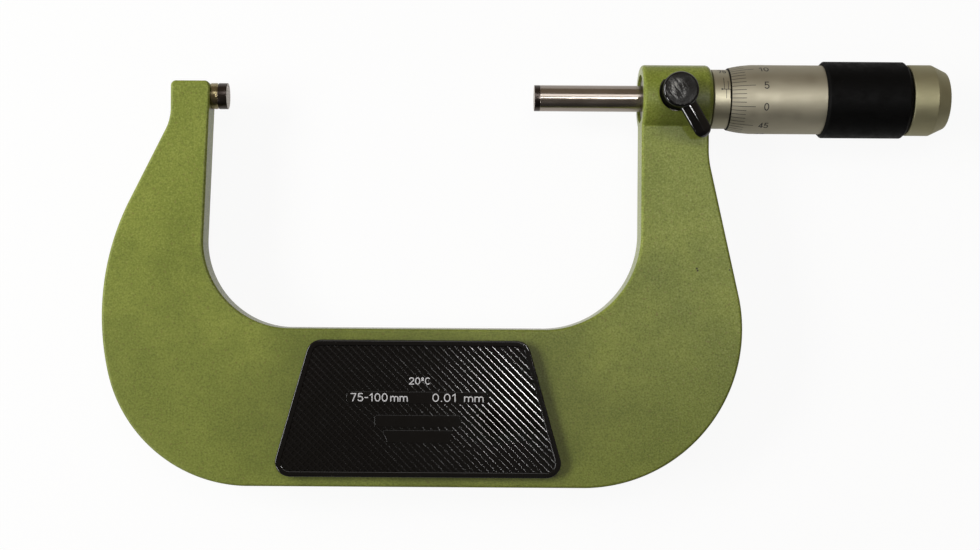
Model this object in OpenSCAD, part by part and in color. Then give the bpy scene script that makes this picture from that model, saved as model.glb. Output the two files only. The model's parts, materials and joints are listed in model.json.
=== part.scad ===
// Outside micrometer with a U-shaped frame, lying on its back.
// X runs along the spindle from the anvil, Y points from the web up to the
// spindle, and Z comes out of the front face. The origin is the centre of the
// anvil's measuring face. All sizes are in millimetres.

/* [Measuring range] */
// Smallest size that can be measured
range_min = 75; // [70:1:100]
// Travel of the spindle
travel = 25; // [20:0.5:26]
// How far the spindle stands open past the smallest size
opened = 1.544; // [0:0.001:15]

/* [Frame] */
// Thickness of the frame
frame_t = 9; // [8:0.25:10]
// Depth of the throat below the spindle axis
throat_depth = 57.8; // [52:0.2:64]
// Height of the web below the throat
web_h = 39.2; // [37:0.2:44]
// Overhang of the frame behind the anvil face
left_reach = 30.4; // [30:0.1:31.5]
// Overhang of the frame beyond its inner face on the spindle side
right_reach = 25.2; // [24:0.1:28]
// Radius of the throat corner beside the anvil
throat_r_left = 21.6; // [16:0.1:28]
// Radius of the throat corner below the spindle
throat_r_right = 23.9; // [16:0.1:28]
// Radius of the long curve down the anvil side
haunch_r = 64.2; // [60:0.2:68]
// Radius of the lower corner on the anvil side
heel_r_left = 35.8; // [32:0.2:42]
// Radius of the lower corner on the spindle side
heel_r_right = 39.4; // [34:0.2:42]
// Splay of the outer edge below the anvil, in degrees
splay_left = 26.6; // [25:0.1:28]
// Splay of the outer edge below the spindle, in degrees
splay_right = 12.7; // [11:0.05:13.5]
// Lean of the inner edge below the anvil, in degrees
draft_left = 2.2; // [0:0.1:4]
// Top of the anvil arm above the spindle axis
arm_top = 3.4; // [3.3:0.1:6]
// Outer side of the anvil arm, measured from the anvil face
arm_out = 13.65; // [13:0.05:14.4]
// Length of the straight outer side below the spindle axis
neck_drop = 6.2; // [5:0.1:8]
// Rounding of the anvil arm's top corners
arm_corner_r = 1.3; // [0.5:0.1:2]
// Fillet between the straight neck and the splayed edge
neck_r = 12; // [6:0.5:20]
// Width of the spindle arm just below the boss
waist_w = 16.65; // [16:0.05:17.1]
// Fillet between the waist and the splayed edge
waist_r = 25; // [10:0.5:35]

/* [Spindle boss] */
// Radius of the boss around the spindle
boss_r = 8.4; // [7.8:0.1:9.2]
// Length of the boss
boss_l = 17.2; // [17.1:0.05:19]
// Rounding of the boss at the measuring side
boss_round_in = 0.9; // [0.3:0.1:1.5]
// Rounding of the boss at the sleeve side
boss_round_out = 1.4; // [0.5:0.1:2.2]
// Radius of the machined recess around the spindle
recess_r = 6; // [5.8:0.1:6.6]
// Depth of the machined recess
recess_depth = 0.6; // [0.2:0.1:1.2]

/* [Anvil and spindle] */
// Radius of the anvil and of the spindle
spindle_r = 3.25; // [3:0.05:3.4]
// How far the anvil stands out of its arm
anvil_out = 4; // [3.8:0.05:6]
// Radius of the anvil's shank inside the arm
anvil_shank_r = 2.5; // [2:0.05:2.8]
// Length of the anvil's shank
anvil_shank_l = 7.5; // [5:0.5:8.5]
// Radial room around the anvil's head in its machined seat
anvil_seat_gap = 0.35; // [0.2:0.05:0.6]
// Thickness of the anvil's carbide disc
anvil_tip_t = 2.3; // [1.5:0.1:2.6]
// Width of the brazing groove behind the anvil's disc
braze_w = 0.3; // [0.2:0.05:0.6]
// Depth of the brazing groove
braze_d = 0.2; // [0.1:0.05:0.4]
// Thickness of the spindle's carbide disc
spindle_tip_t = 1.4; // [1:0.1:2.5]
// How far the open spindle's face stands clear of the frame's inner face
tip_stand = 3.05; // [2.5:0.05:5]
// Outer radius of the spindle's thread
thread_r = 3.6; // [3.5:0.05:3.8]

/* [Sleeves] */
// Outer radius of the inner sleeve that carries the nut
inner_r = 5.5; // [5.3:0.05:5.7]
// Length of the nut thread in the inner sleeve
nut_l = 12; // [9:0.5:14]
// Radius of the inner sleeve's bore between guide and nut
relief_r = 4.1; // [4:0.05:4.3]
// Width of the closing slits in the nut
slit_w = 0.8; // [0.5:0.1:1.2]
// Outer radius of the graduated sleeve
sleeve_r = 7.35; // [7.1:0.05:7.4]
// Distance from the boss to the zero graduation
zero_stand = 2.6; // [2:0.1:4]
// Length of the graduated sleeve past its last graduation
sleeve_tail = 1.5; // [1:0.1:2.5]
// Radius of the spanner hole in the graduated sleeve
key_hole_r = 0.75; // [0.5:0.05:1]
// Length of the adjusting nut's ring
ring_l = 3.2; // [2.5:0.1:4]
// Outer radius of the adjusting nut
ring_r = 6.5; // [6.2:0.05:7]

/* [Thimble] */
// Outer radius of the thimble
thimble_r = 8.575; // [8.4:0.025:8.7]
// Radial clearance between the thimble's bore and the graduated sleeve
thimble_gap = 0.1; // [0.05:0.01:0.14]
// Radial thickness of the thimble's reading edge
edge_t = 0.2; // [0.1:0.05:0.3]
// Length of the graduated bevel
bevel_l = 6.15; // [5:0.05:8]
// How far the bevel bulges out of a straight cone
bevel_bulge = 0.15; // [0.05:0.01:0.3]
// Length of thimble seen in front of the friction sleeve
thimble_show = 23.55; // [20:0.05:25]
// Length of the thimble's taper seat on the spindle
seat_l = 4.8; // [4:0.1:6]
// Large radius of the taper seat
seat_r0 = 4.8; // [4.6:0.05:5.2]
// Small radius of the taper seat
seat_r1 = 4.3; // [4:0.05:4.5]
// Thickness of the thimble's end wall
thimble_wall = 1.5; // [1:0.1:2]
// Radius of the thimble's rear hub around the taper
thimble_hub_r = 6.2; // [5.8:0.1:6.5]

/* [Friction drive] */
// Outer radius of the friction sleeve
grip_r = 9.5; // [9.3:0.05:10]
// Length of the friction sleeve
grip_l = 21.2; // [20.5:0.1:24]
// Chamfer at the front edge of the friction sleeve
grip_edge = 0.6; // [0.3:0.05:0.8]
// Chamfer at the rear edge of the friction sleeve
grip_rear_edge = 1.1; // [0.5:0.05:1.3]
// Radius of the bore that holds the friction ring
grip_bore_r = 7.8; // [7.6:0.05:8]
// Length of the friction ring
ring_liner_l = 8; // [6:0.1:8.5]
// Radial thickness of the friction ring
liner_t = 0.9; // [0.7:0.05:1]
// Outer radius of the clamp hub
hub_r = 6.6; // [6.4:0.05:6.7]
// Length of the clamp hub's body
hub_l = 8; // [7:0.1:8.5]
// Radius of the clamp hub's stud inside the spindle
stud_r = 2.5; // [2:0.05:2.8]
// Length of the clamp hub's stud
stud_l = 6; // [4:0.5:8]
// Radius of the clamp hub's nose that carries the end cap
nose_r = 4.5; // [4:0.05:5]
// Width of the friction spring
spring_w = 3.6; // [2.5:0.1:4]
// Radial thickness of the friction spring
spring_t = 0.7; // [0.5:0.05:0.8]
// Opening of the friction spring
spring_slot = 1.6; // [1:0.1:3]
// Thickness of the thrust washer
washer_t = 0.6; // [0.4:0.05:0.8]
// Radius of the end cap
cap_r = 8.8; // [8.6:0.05:9]
// Length of the end cap's straight part
cap_l = 5.9; // [5:0.1:7]
// Length of the end cap's cone
cap_cone_l = 3.5; // [2:0.1:4.5]
// Radius of the end cap where its cone ends
cap_cone_r = 7.1; // [6:0.05:7.6]
// Rounding of the end cap's rear edge
cap_round = 1.6; // [0.5:0.1:2]

/* [Spindle lock] */
// Distance from the frame's inner face to the lock
lock_in = 8.35; // [8:0.05:9]
// Distance of the lock's axis from the spindle axis, away from the throat
lock_shift = 0.85; // [0:0.05:1]
// Advance of the lock screw in one turn
lock_pitch = 0.5; // [0.4:0.05:0.7]
// Turn of the lever from free to locked, in degrees
lock_turn = 60; // [30:5:90]
// Radius of the brass lock pad
pad_r = 1.6; // [1.2:0.05:1.8]
// Height of the pad's upper end above the inner sleeve
pad_rise = 0.4; // [0.2:0.1:0.8]
// Radius of the lock screw
lock_screw_r = 2.2; // [2:0.05:2.3]
// Length of the lock screw inside the lever
screw_grip = 3.4; // [2.5:0.1:4]
// Height of the lever's seat above the spindle axis
lock_seat_z = 7.4; // [7.2:0.1:7.8]
// Radius of the lever's seat in the boss
lock_seat_r = 4.7; // [4.7:0.05:5]
// Thickness of the washer below the lever
lever_washer_t = 0.3; // [0.2:0.05:0.4]
// Radius of the lever's hub
lever_hub_r = 4.4; // [4:0.05:4.4]
// Height of the lever's hub
lever_hub_h = 5.1; // [4.6:0.1:6]
// Distance from the hub's centre to the centre of the lever's tip
lever_l = 10.8; // [9:0.1:12]
// Radius of the lever's tip
lever_tip_r = 2.1; // [1.7:0.05:2.4]
// Width of the lever where it leaves the hub
lever_root_w = 3.8; // [3:0.1:4]
// Thickness of the lever's arm
lever_arm_t = 3; // [2.4:0.1:3.2]
// Direction of the lever, in degrees from the spindle axis
lever_angle = -58.5; // [-90:0.5:-45]

/* [Insulating plates] */
// Height of the plates
plate_h = 33.8; // [30:0.1:34.2]
// Gap from the throat's floor to the plates
plate_drop = 2.7; // [2.5:0.1:4]
// Width of the plates along their upper edge
plate_top_w = 53.6; // [46:0.2:60]
// Width of the plates along their lower edge
plate_bottom_w = 72.8; // [60:0.2:74]
// Centre of the plates, measured from the anvil face
plate_x = 48.2; // [46:0.1:51]
// Rounding of the plates' corners
plate_corner_r = 3.7; // [2.4:0.1:5]
// Thickness of the plates
plate_t = 2; // [1.6:0.1:2.6]
// Width of the plates' raised rim
rim_w = 1.5; // [1:0.1:2.2]
// Height of the raised rim above the grip field
rim_h = 0.6; // [0.3:0.1:0.9]
// Radius of the locating pegs
peg_r = 2; // [1.5:0.1:2.5]
// Length of the locating pegs
peg_l = 3; // [2:0.1:3.5]
// Distance between the two pegs of a plate
peg_span = 32; // [24:0.5:38]

/* [Fits] */
// Radial clearance of a pressed or cemented joint
press_gap = 0.02; // [0.01:0.005:0.03]
// Radial clearance of a running fit
run_gap = 0.03; // [0.02:0.005:0.05]
// Axial clearance between turning faces
face_gap = 0.1; // [0.05:0.01:0.15]
// Run-out kept free at the ends of the travel
run_out = 0.6; // [0.4:0.1:1]
// Chamfer on the edges of turned parts
edge = 0.25; // [0.15:0.05:0.3]

/* [Hidden] */
$fn = 96;
// Amount by which a cut runs past a face
over = 1;
// Amount by which an arc laps over the line it runs into
lap = 0.01;

// Frame outline
frame_bottom = -(throat_depth + web_h);
inner_face_x = range_min + travel + tip_stand;
waist_x = inner_face_x + waist_w;
haunch_c = [
    haunch_r - left_reach,
    ((haunch_r - left_reach + arm_out) * cos(splay_left) - haunch_r) / sin(splay_left) - neck_drop
];
heel_left_y = frame_bottom + heel_r_left;
heel_left_c = [
    haunch_c[0] - sqrt(pow(haunch_r - heel_r_left, 2) - pow(heel_left_y - haunch_c[1], 2)),
    heel_left_y
];
heel_right_c = [inner_face_x + right_reach - heel_r_right, frame_bottom + heel_r_right];
haunch_top_angle = 180 - splay_left;
haunch_end_angle = 360 - acos((haunch_c[0] - heel_left_c[0]) / (haunch_r - heel_r_left) * -1);
waist_y = heel_right_c[1]
    + (heel_r_right - (waist_x - heel_right_c[0]) * cos(splay_right)) / sin(splay_right);

// Stations along the spindle axis
boss_end_x = inner_face_x + boss_l;
zero_x = boss_end_x + zero_stand;
sleeve_end_x = zero_x + travel + sleeve_tail;
inner_start_x = inner_face_x + recess_depth;
inner_end_x = sleeve_end_x + face_gap + ring_l + face_gap;
nut_start_x = inner_end_x - nut_l;
guide_end_x = nut_start_x - travel - run_out;
tip_x = range_min + opened;
thread_start_x = nut_start_x - travel + opened;
thread_end_x = inner_end_x + opened + run_out / 2;
lip_x = zero_x + opened;
reading_edge_r = sleeve_r + thimble_gap + edge_t;
bevel_steps = 8;
cavity_end_x = inner_end_x + opened + run_out * 2;
seat_end_x = cavity_end_x + seat_l;
thimble_back_x = cavity_end_x + thimble_wall;
grip_start_x = lip_x + thimble_show;
grip_end_x = grip_start_x + grip_l;
hub_end_x = seat_end_x + hub_l;
spring_x = seat_end_x + (hub_l - spring_w) / 2;
liner_end_x = grip_end_x - washer_t - 3 * face_gap;
cap_start_x = grip_end_x + face_gap;
cap_cone_x = cap_start_x + cap_l;
cap_end_x = cap_cone_x + cap_cone_l + cap_round * 0.3;
nose_end_x = cap_cone_x;

// Anvil arm
arm_inner_x = -anvil_out;
anvil_seat_x = arm_inner_x - (spindle_r + anvil_seat_gap) * tan(draft_left) - run_gap;
groove_x = -anvil_tip_t - braze_w;

// Spindle lock
lock_x = inner_face_x + lock_in;
pad_bottom_z = spindle_r + lock_pitch * lock_turn / 360 + press_gap;
pad_top_z = inner_r + pad_rise;
lever_z = lock_seat_z + lever_washer_t + 2 * face_gap;
screw_top_z = lever_z + screw_grip;
lever_arm_z = boss_r + 3 * face_gap;

// Insulating plates
plate_top_y = -throat_depth - plate_drop;
plate_bottom_y = plate_top_y - plate_h;
plate_lean = atan((plate_bottom_w - plate_top_w) / 2 / plate_h);
peg_y = (plate_top_y + plate_bottom_y) / 2;

// ---- Shared shapes ----------------------------------------------------------

// Places shapes made along Z so that they run along the spindle axis.
module on_axis(x) {
    translate([x, 0, 0]) rotate([0, 90, 0]) children();
}

// Round bar from x0 to x1 on the spindle axis, with radius ra at x0 and rb at x1.
module bar(x0, x1, ra, rb = undef) {
    on_axis(x0) cylinder(h = x1 - x0, r1 = ra, r2 = is_undef(rb) ? ra : rb);
}

// Corner of a bar's profile at radius r and height h, chamfered by c at its first or last end.
function corner(r, h, c, first) = c == 0 ? [[r, h]] : first
    ? [[r - c, h], [r, h + c]]
    : [[r, h - c], [r - c, h]];

// Round bar whose two ends are chamfered by c0 and c1; 0 leaves an end sharp.
module chamfered_bar(x0, x1, r, c0, c1) {
    on_axis(x0) rotate_extrude() polygon(concat(
        [[0, 0]],
        corner(r, 0, c0, true),
        corner(r, x1 - x0, c1, false),
        [[0, x1 - x0]]
    ));
}

// Round bar whose two ends are rounded by f0 and f1.
module rounded_bar(x0, x1, r, f0, f1) {
    on_axis(x0) rotate_extrude() union() {
        polygon([
            [0, 0],
            [r - f0, 0],
            [r, f0],
            [r, x1 - x0 - f1],
            [r - f1, x1 - x0],
            [0, x1 - x0]
        ]);
        translate([r - f0, f0]) circle(f0);
        translate([r - f1, x1 - x0 - f1]) circle(f1);
    }
}

// Upright pin from z0 to z1 at the lock.
module lock_pin(z0, z1, r) {
    translate([lock_x, lock_shift, z0]) cylinder(h = z1 - z0, r = r);
}

// Point at a distance and an angle from a centre.
function polar(c, r, a) = [c[0] + r * cos(a), c[1] + r * sin(a)];

// Fillet where a vertical edge above v turns by angle s below it, towards side -1 or 1.
module waist_fillet(v, s, r, side) {
    reach = r * tan(s / 2);
    difference() {
        polygon([
            [v[0], v[1] + reach],
            [v[0] - side * r * 0.1, v[1]],
            [v[0] + side * reach * sin(s), v[1] - reach * cos(s)]
        ]);
        translate([v[0] + side * r, v[1] + reach]) circle(r + lap);
    }
}

// ---- Frame ------------------------------------------------------------------

// Open throat between the two arms.
module throat_outline() {
    top = arm_top + over;
    left_y = -throat_depth + throat_r_left;
    left_x = arm_inner_x + left_y * tan(draft_left) + throat_r_left / cos(draft_left);
    right_x = inner_face_x - throat_r_right;
    right_y = -throat_depth + throat_r_right;
    translate([left_x, left_y]) circle(throat_r_left + lap);
    translate([right_x, right_y]) circle(throat_r_right + lap);
    polygon([
        [arm_inner_x + top * tan(draft_left), top],
        polar([left_x, left_y], throat_r_left, 180 - draft_left),
        [left_x, -throat_depth],
        [right_x, -throat_depth],
        [inner_face_x, right_y],
        [inner_face_x, top]
    ]);
}

// Outside of the frame, with the throat still filled.
module outer_outline() {
    neck = [-arm_out, -neck_drop];
    waist = [waist_x, waist_y];
    heel_left_top = polar(haunch_c, haunch_r, haunch_end_angle);
    translate(heel_left_c) circle(heel_r_left + lap);
    translate(heel_right_c) circle(heel_r_right + lap);
    intersection() {
        translate(haunch_c) circle(haunch_r);
        polygon([
            haunch_c,
            polar(haunch_c, haunch_r * 1.2, haunch_top_angle - 3),
            polar(haunch_c, haunch_r * 1.2, haunch_end_angle)
        ]);
    }
    polygon([
        [arm_inner_x - arm_corner_r, arm_top],
        [arm_corner_r - arm_out, arm_top],
        [-arm_out, arm_top - arm_corner_r],
        neck,
        polar(haunch_c, haunch_r - lap, haunch_top_angle),
        heel_left_top,
        [heel_left_c[0], frame_bottom],
        [heel_right_c[0], frame_bottom],
        polar(heel_right_c, heel_r_right, splay_right),
        waist,
        [waist_x, 0],
        [inner_face_x, 0],
        [arm_inner_x, arm_top - arm_corner_r]
    ]);
    translate([arm_corner_r - arm_out, arm_top - arm_corner_r]) circle(arm_corner_r + lap);
    translate([arm_inner_x - arm_corner_r, arm_top - arm_corner_r]) circle(arm_corner_r + lap);
    waist_fillet(neck, splay_left, neck_r, -1);
    waist_fillet(waist, splay_right, waist_r, 1);
}

// Places a copy at each locating peg.
module at_pegs() {
    for (side = [-1, 1]) {
        translate([plate_x + side * peg_span / 2, peg_y, 0]) children();
    }
}

module frame() {
    color("#7f874c") difference() {
        union() {
            translate([0, 0, -frame_t / 2]) linear_extrude(frame_t) difference() {
                outer_outline();
                throat_outline();
            }
            rounded_bar(inner_face_x, boss_end_x, boss_r, boss_round_in, boss_round_out);
        }
        // bore for the inner sleeve, with the machined recess at its mouth
        bar(inner_face_x - over, boss_end_x + over, inner_r + press_gap);
        bar(inner_face_x - over, inner_start_x, recess_r);
        // threaded hole and seat for the lock
        lock_pin(0, lock_seat_z + over, lock_screw_r + run_gap);
        lock_pin(lock_seat_z, boss_r + over, lock_seat_r);
        // hole and seat for the anvil
        bar(anvil_seat_x - anvil_shank_l - face_gap, 0, anvil_shank_r + press_gap);
        bar(anvil_seat_x, 0, spindle_r + anvil_seat_gap);
        // blind holes for the plates' pegs
        at_pegs() {
            for (side = [0, 1]) {
                mirror([0, 0, side]) translate([0, 0, frame_t / 2 - peg_l - face_gap])
                    cylinder(h = peg_l + over, r = peg_r + press_gap);
            }
        }
    }
}

// ---- Anvil ------------------------------------------------------------------

module anvil() {
    color("#a9a59b") {
        bar(anvil_seat_x - anvil_shank_l, anvil_seat_x, anvil_shank_r);
        bar(anvil_seat_x, groove_x, spindle_r);
        bar(groove_x, -anvil_tip_t, spindle_r - braze_d);
    }
}

module anvil_tip() {
    color("#75726f") chamfered_bar(-anvil_tip_t, 0, spindle_r, edge / 2, edge / 4);
}

// ---- Sleeves ----------------------------------------------------------------

module inner_sleeve() {
    color("#9b978e") difference() {
        chamfered_bar(inner_start_x, inner_end_x, inner_r, edge, edge);
        bar(inner_start_x - over, guide_end_x, spindle_r + run_gap);
        bar(guide_end_x - over / 10, nut_start_x, relief_r);
        bar(nut_start_x - over, inner_end_x + over, thread_r + run_gap);
        // three slits let the adjusting nut close the thread
        for (turn = [0, 120, 240]) {
            rotate([turn, 0, 0]) translate([nut_start_x, -slit_w / 2, 0])
                cube([nut_l + over, slit_w, inner_r + over]);
        }
        lock_pin(0, inner_r + over, pad_r + run_gap);
    }
}

module graduated_sleeve() {
    color("#b9b6a9") difference() {
        chamfered_bar(boss_end_x + face_gap, sleeve_end_x, sleeve_r, edge, edge);
        bar(boss_end_x, sleeve_end_x + over, inner_r + press_gap);
        // spanner hole for setting the zero line
        translate([boss_end_x + zero_stand / 2 + face_gap, 0, -sleeve_r - over])
            cylinder(h = sleeve_r + over - inner_r, r = key_hole_r);
    }
}

module adjusting_nut() {
    nut_x = sleeve_end_x + face_gap;
    notch_w = 2 * slit_w;
    color("#8d8a83") difference() {
        chamfered_bar(nut_x, nut_x + ring_l, ring_r, edge, edge);
        bar(nut_x - over, nut_x + ring_l + over, inner_r + press_gap);
        // two notches for the spanner
        translate([nut_x + ring_l / 2, -notch_w / 2, -ring_r - over])
            cube([ring_l, notch_w, 2 * (ring_r + over)]);
    }
}

// ---- Spindle ----------------------------------------------------------------

module spindle_tip() {
    color("#75726f") chamfered_bar(tip_x, tip_x + spindle_tip_t, spindle_r, edge / 4, 0);
}

module spindle() {
    color("#a39b90") difference() {
        union() {
            bar(tip_x + spindle_tip_t, thread_start_x, spindle_r);
            chamfered_bar(thread_start_x, thread_end_x, thread_r, edge, edge);
            bar(thread_start_x, cavity_end_x, spindle_r);
            bar(cavity_end_x, seat_end_x - face_gap, seat_r0, seat_r1);
        }
        bar(seat_end_x - stud_l - run_out, seat_end_x + over, stud_r + run_gap);
    }
}

// Point of the graduated bevel, from 0 at the reading edge to 1 at its large end.
function bevel_point(t) = [
    reading_edge_r + (thimble_r - reading_edge_r) * t + bevel_bulge * sin(180 * t),
    bevel_l * t
];

module thimble() {
    bore_r = sleeve_r + thimble_gap;
    color("#aaa79b") difference() {
        union() {
            on_axis(lip_x) rotate_extrude() polygon(concat(
                [[0, bevel_l], [0, 0]],
                [for (step = [0:bevel_steps]) bevel_point(step / bevel_steps)]
            ));
            bar(lip_x + bevel_l, thimble_back_x, thimble_r);
            bar(thimble_back_x, seat_end_x, thimble_hub_r);
        }
        bar(lip_x - over, cavity_end_x, bore_r);
        bar(cavity_end_x, seat_end_x, seat_r0 + press_gap, seat_r1 + press_gap);
        bar(seat_end_x, seat_end_x + over, seat_r1);
    }
}

// ---- Friction drive ---------------------------------------------------------

module clamp_hub() {
    groove_r = hub_r - spring_t + liner_clear();
    color("#8f8b84") difference() {
        union() {
            chamfered_bar(seat_end_x - stud_l, seat_end_x, stud_r, edge, 0);
            chamfered_bar(seat_end_x, hub_end_x, hub_r, edge, edge);
            chamfered_bar(hub_end_x, nose_end_x, nose_r, 0, edge);
        }
        difference() {
            bar(spring_x - face_gap, spring_x + spring_w + face_gap, hub_r + over);
            bar(spring_x - over, spring_x + spring_w + over, groove_r - run_gap);
        }
    }
}

// Radial room between the clamp hub and the friction ring.
function liner_clear() = grip_bore_r - liner_t - hub_r;

module friction_spring() {
    outer = hub_r + liner_clear() - run_gap;
    color("#bcb9b0") difference() {
        bar(spring_x, spring_x + spring_w, outer);
        bar(spring_x - over, spring_x + spring_w + over, hub_r + liner_clear() - spring_t);
        translate([spring_x - over, -spring_slot / 2, 0])
            cube([spring_w + 2 * over, spring_slot, outer + over]);
    }
}

module friction_ring() {
    color("#8c8983") difference() {
        bar(liner_end_x - ring_liner_l, liner_end_x, grip_bore_r - press_gap);
        bar(liner_end_x - ring_liner_l - over, liner_end_x + over, grip_bore_r - liner_t);
    }
}

module friction_sleeve() {
    color("#161616") difference() {
        chamfered_bar(grip_start_x, grip_end_x, grip_r, grip_edge, grip_rear_edge);
        bar(grip_start_x - over, thimble_back_x + face_gap, thimble_r + run_gap);
        bar(grip_start_x, grip_end_x + over, grip_bore_r);
    }
}

module thrust_washer() {
    color("#9c8a52") difference() {
        bar(liner_end_x + face_gap, liner_end_x + face_gap + washer_t, grip_bore_r - face_gap);
        bar(liner_end_x, grip_end_x, nose_r + run_gap);
    }
}

module end_cap() {
    flat_r = cap_cone_r - cap_round;
    color("#aaa79b") difference() {
        union() {
            chamfered_bar(cap_start_x, cap_cone_x, cap_r, edge, 0);
            bar(cap_cone_x, cap_cone_x + cap_cone_l, cap_r, cap_cone_r);
            bar(cap_cone_x + cap_cone_l, cap_end_x, cap_cone_r, flat_r);
        }
        bar(cap_start_x - over, nose_end_x + face_gap, nose_r + press_gap);
    }
}

// ---- Spindle lock -----------------------------------------------------------

module lock_pad() {
    color("#b39b4e") lock_pin(pad_bottom_z, pad_top_z, pad_r);
}

module lock_screw() {
    color("#77746e") lock_pin(pad_top_z, screw_top_z, lock_screw_r);
}

module lever_washer() {
    color("#3a3a3a") difference() {
        lock_pin(lock_seat_z, lock_seat_z + lever_washer_t, lever_hub_r - face_gap);
        lock_pin(0, boss_r, lock_screw_r + face_gap);
    }
}

module lock_lever() {
    round_r = lever_hub_h / 2;
    color("#0d0d0d") difference() {
        union() {
            translate([lock_x, lock_shift, lever_z]) rotate_extrude() {
                square([lever_hub_r - round_r, lever_hub_h]);
                intersection() {
                    translate([lever_hub_r - round_r, round_r]) circle(round_r);
                    square([lever_hub_r, lever_hub_h]);
                }
            }
            translate([lock_x, lock_shift, lever_arm_z]) rotate([0, 0, lever_angle])
                linear_extrude(lever_arm_t) lever_outline();
        }
        lock_pin(lever_z - over, screw_top_z, lock_screw_r + press_gap);
    }
}

// Arm of the lever from above, pointing along X.
module lever_outline() {
    polygon([
        [0, -lever_root_w / 2],
        [lever_l, -lever_tip_r],
        [lever_l, lever_tip_r],
        [0, lever_root_w / 2]
    ]);
    translate([lever_l, 0]) circle(lever_tip_r);
}

// ---- Insulating plates ------------------------------------------------------

// Plate outline drawn in by a margin on every side.
module plate_outline(margin) {
    r = plate_corner_r - margin;
    rise = plate_top_y - plate_corner_r;
    fall = plate_bottom_y + plate_corner_r;
    side_r = plate_corner_r / cos(plate_lean);
    top_c = plate_top_w / 2 + plate_corner_r * tan(plate_lean) - side_r;
    bottom_c = plate_bottom_w / 2 - plate_corner_r * tan(plate_lean) - side_r;
    for (side = [-1, 1]) {
        translate([plate_x + side * top_c, rise]) circle(r);
        translate([plate_x + side * bottom_c, fall]) circle(r);
    }
    polygon([
        [plate_x - top_c, rise + r],
        polar([plate_x - top_c, rise], r, 180 - plate_lean),
        polar([plate_x - bottom_c, fall], r, 180 - plate_lean),
        [plate_x - bottom_c, fall - r],
        [plate_x + bottom_c, fall - r],
        polar([plate_x + bottom_c, fall], r, plate_lean),
        polar([plate_x + top_c, rise], r, plate_lean),
        [plate_x + top_c, rise + r]
    ]);
}

// Plate on the front face of the frame, with its two pegs.
module insulating_plate() {
    color("#1a1a1c") translate([0, 0, frame_t / 2]) {
        difference() {
            linear_extrude(plate_t) plate_outline(0);
            translate([0, 0, plate_t - rim_h]) linear_extrude(rim_h + over) plate_outline(rim_w);
        }
        at_pegs() translate([0, 0, -peg_l]) cylinder(h = peg_l, r = peg_r);
    }
}

module front_insulating_plate() {
    insulating_plate();
}

module rear_insulating_plate() {
    mirror([0, 0, 1]) insulating_plate();
}

frame();
anvil();
anvil_tip();
inner_sleeve();
graduated_sleeve();
adjusting_nut();
front_insulating_plate();
rear_insulating_plate();
spindle_tip();
spindle();
thimble();
clamp_hub();
friction_spring();
end_cap();
friction_sleeve();
friction_ring();
thrust_washer();
lock_pad();
lock_screw();
lever_washer();
lock_lever();
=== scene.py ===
import json
import math

import bmesh
import bpy
from mathutils import Matrix, Vector

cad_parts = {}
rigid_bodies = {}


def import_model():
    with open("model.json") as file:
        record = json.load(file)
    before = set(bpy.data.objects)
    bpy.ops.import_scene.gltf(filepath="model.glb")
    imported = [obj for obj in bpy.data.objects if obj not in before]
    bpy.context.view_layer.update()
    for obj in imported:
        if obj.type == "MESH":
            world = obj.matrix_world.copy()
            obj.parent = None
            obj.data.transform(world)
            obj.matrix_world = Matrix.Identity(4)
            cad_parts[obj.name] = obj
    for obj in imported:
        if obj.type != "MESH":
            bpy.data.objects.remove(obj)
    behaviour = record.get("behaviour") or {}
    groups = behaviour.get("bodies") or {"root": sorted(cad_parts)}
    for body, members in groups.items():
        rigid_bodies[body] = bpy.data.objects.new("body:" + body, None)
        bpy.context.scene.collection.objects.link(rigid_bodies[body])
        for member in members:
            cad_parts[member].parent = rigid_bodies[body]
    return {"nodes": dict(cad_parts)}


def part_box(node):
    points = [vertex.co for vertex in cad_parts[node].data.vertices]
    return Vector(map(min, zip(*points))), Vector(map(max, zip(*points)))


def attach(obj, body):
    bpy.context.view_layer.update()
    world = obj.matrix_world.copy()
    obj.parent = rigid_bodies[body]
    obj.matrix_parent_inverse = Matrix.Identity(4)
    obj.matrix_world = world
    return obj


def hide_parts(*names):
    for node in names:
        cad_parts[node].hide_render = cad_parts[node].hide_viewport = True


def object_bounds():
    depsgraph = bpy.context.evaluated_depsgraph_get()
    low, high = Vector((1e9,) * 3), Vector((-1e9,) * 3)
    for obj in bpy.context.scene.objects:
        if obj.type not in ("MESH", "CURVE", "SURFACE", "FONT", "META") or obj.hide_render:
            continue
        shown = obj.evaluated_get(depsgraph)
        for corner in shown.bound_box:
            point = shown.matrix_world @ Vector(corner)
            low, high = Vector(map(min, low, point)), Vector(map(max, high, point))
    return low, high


for leftover in list(bpy.data.objects):
    bpy.data.objects.remove(leftover)

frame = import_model()
cad_low, cad_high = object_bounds()
scene = bpy.context.scene

MM = 0.001              # lengths and places below are in millimetres, Blender's are in metres
AROUND = 192            # facets round a turned part
EDGE_BREAK = 0.09       # radius of the broken edges of turned parts
LEAST_FACETS = 20       # fewer alike facets than this are not a turned surface


# ---- Numbers read from the CAD model -------------------------------------------------------

def box_mm(node):
    """Lowest and highest corner of a CAD node."""
    low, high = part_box(node)
    return low / MM, high / MM


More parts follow.
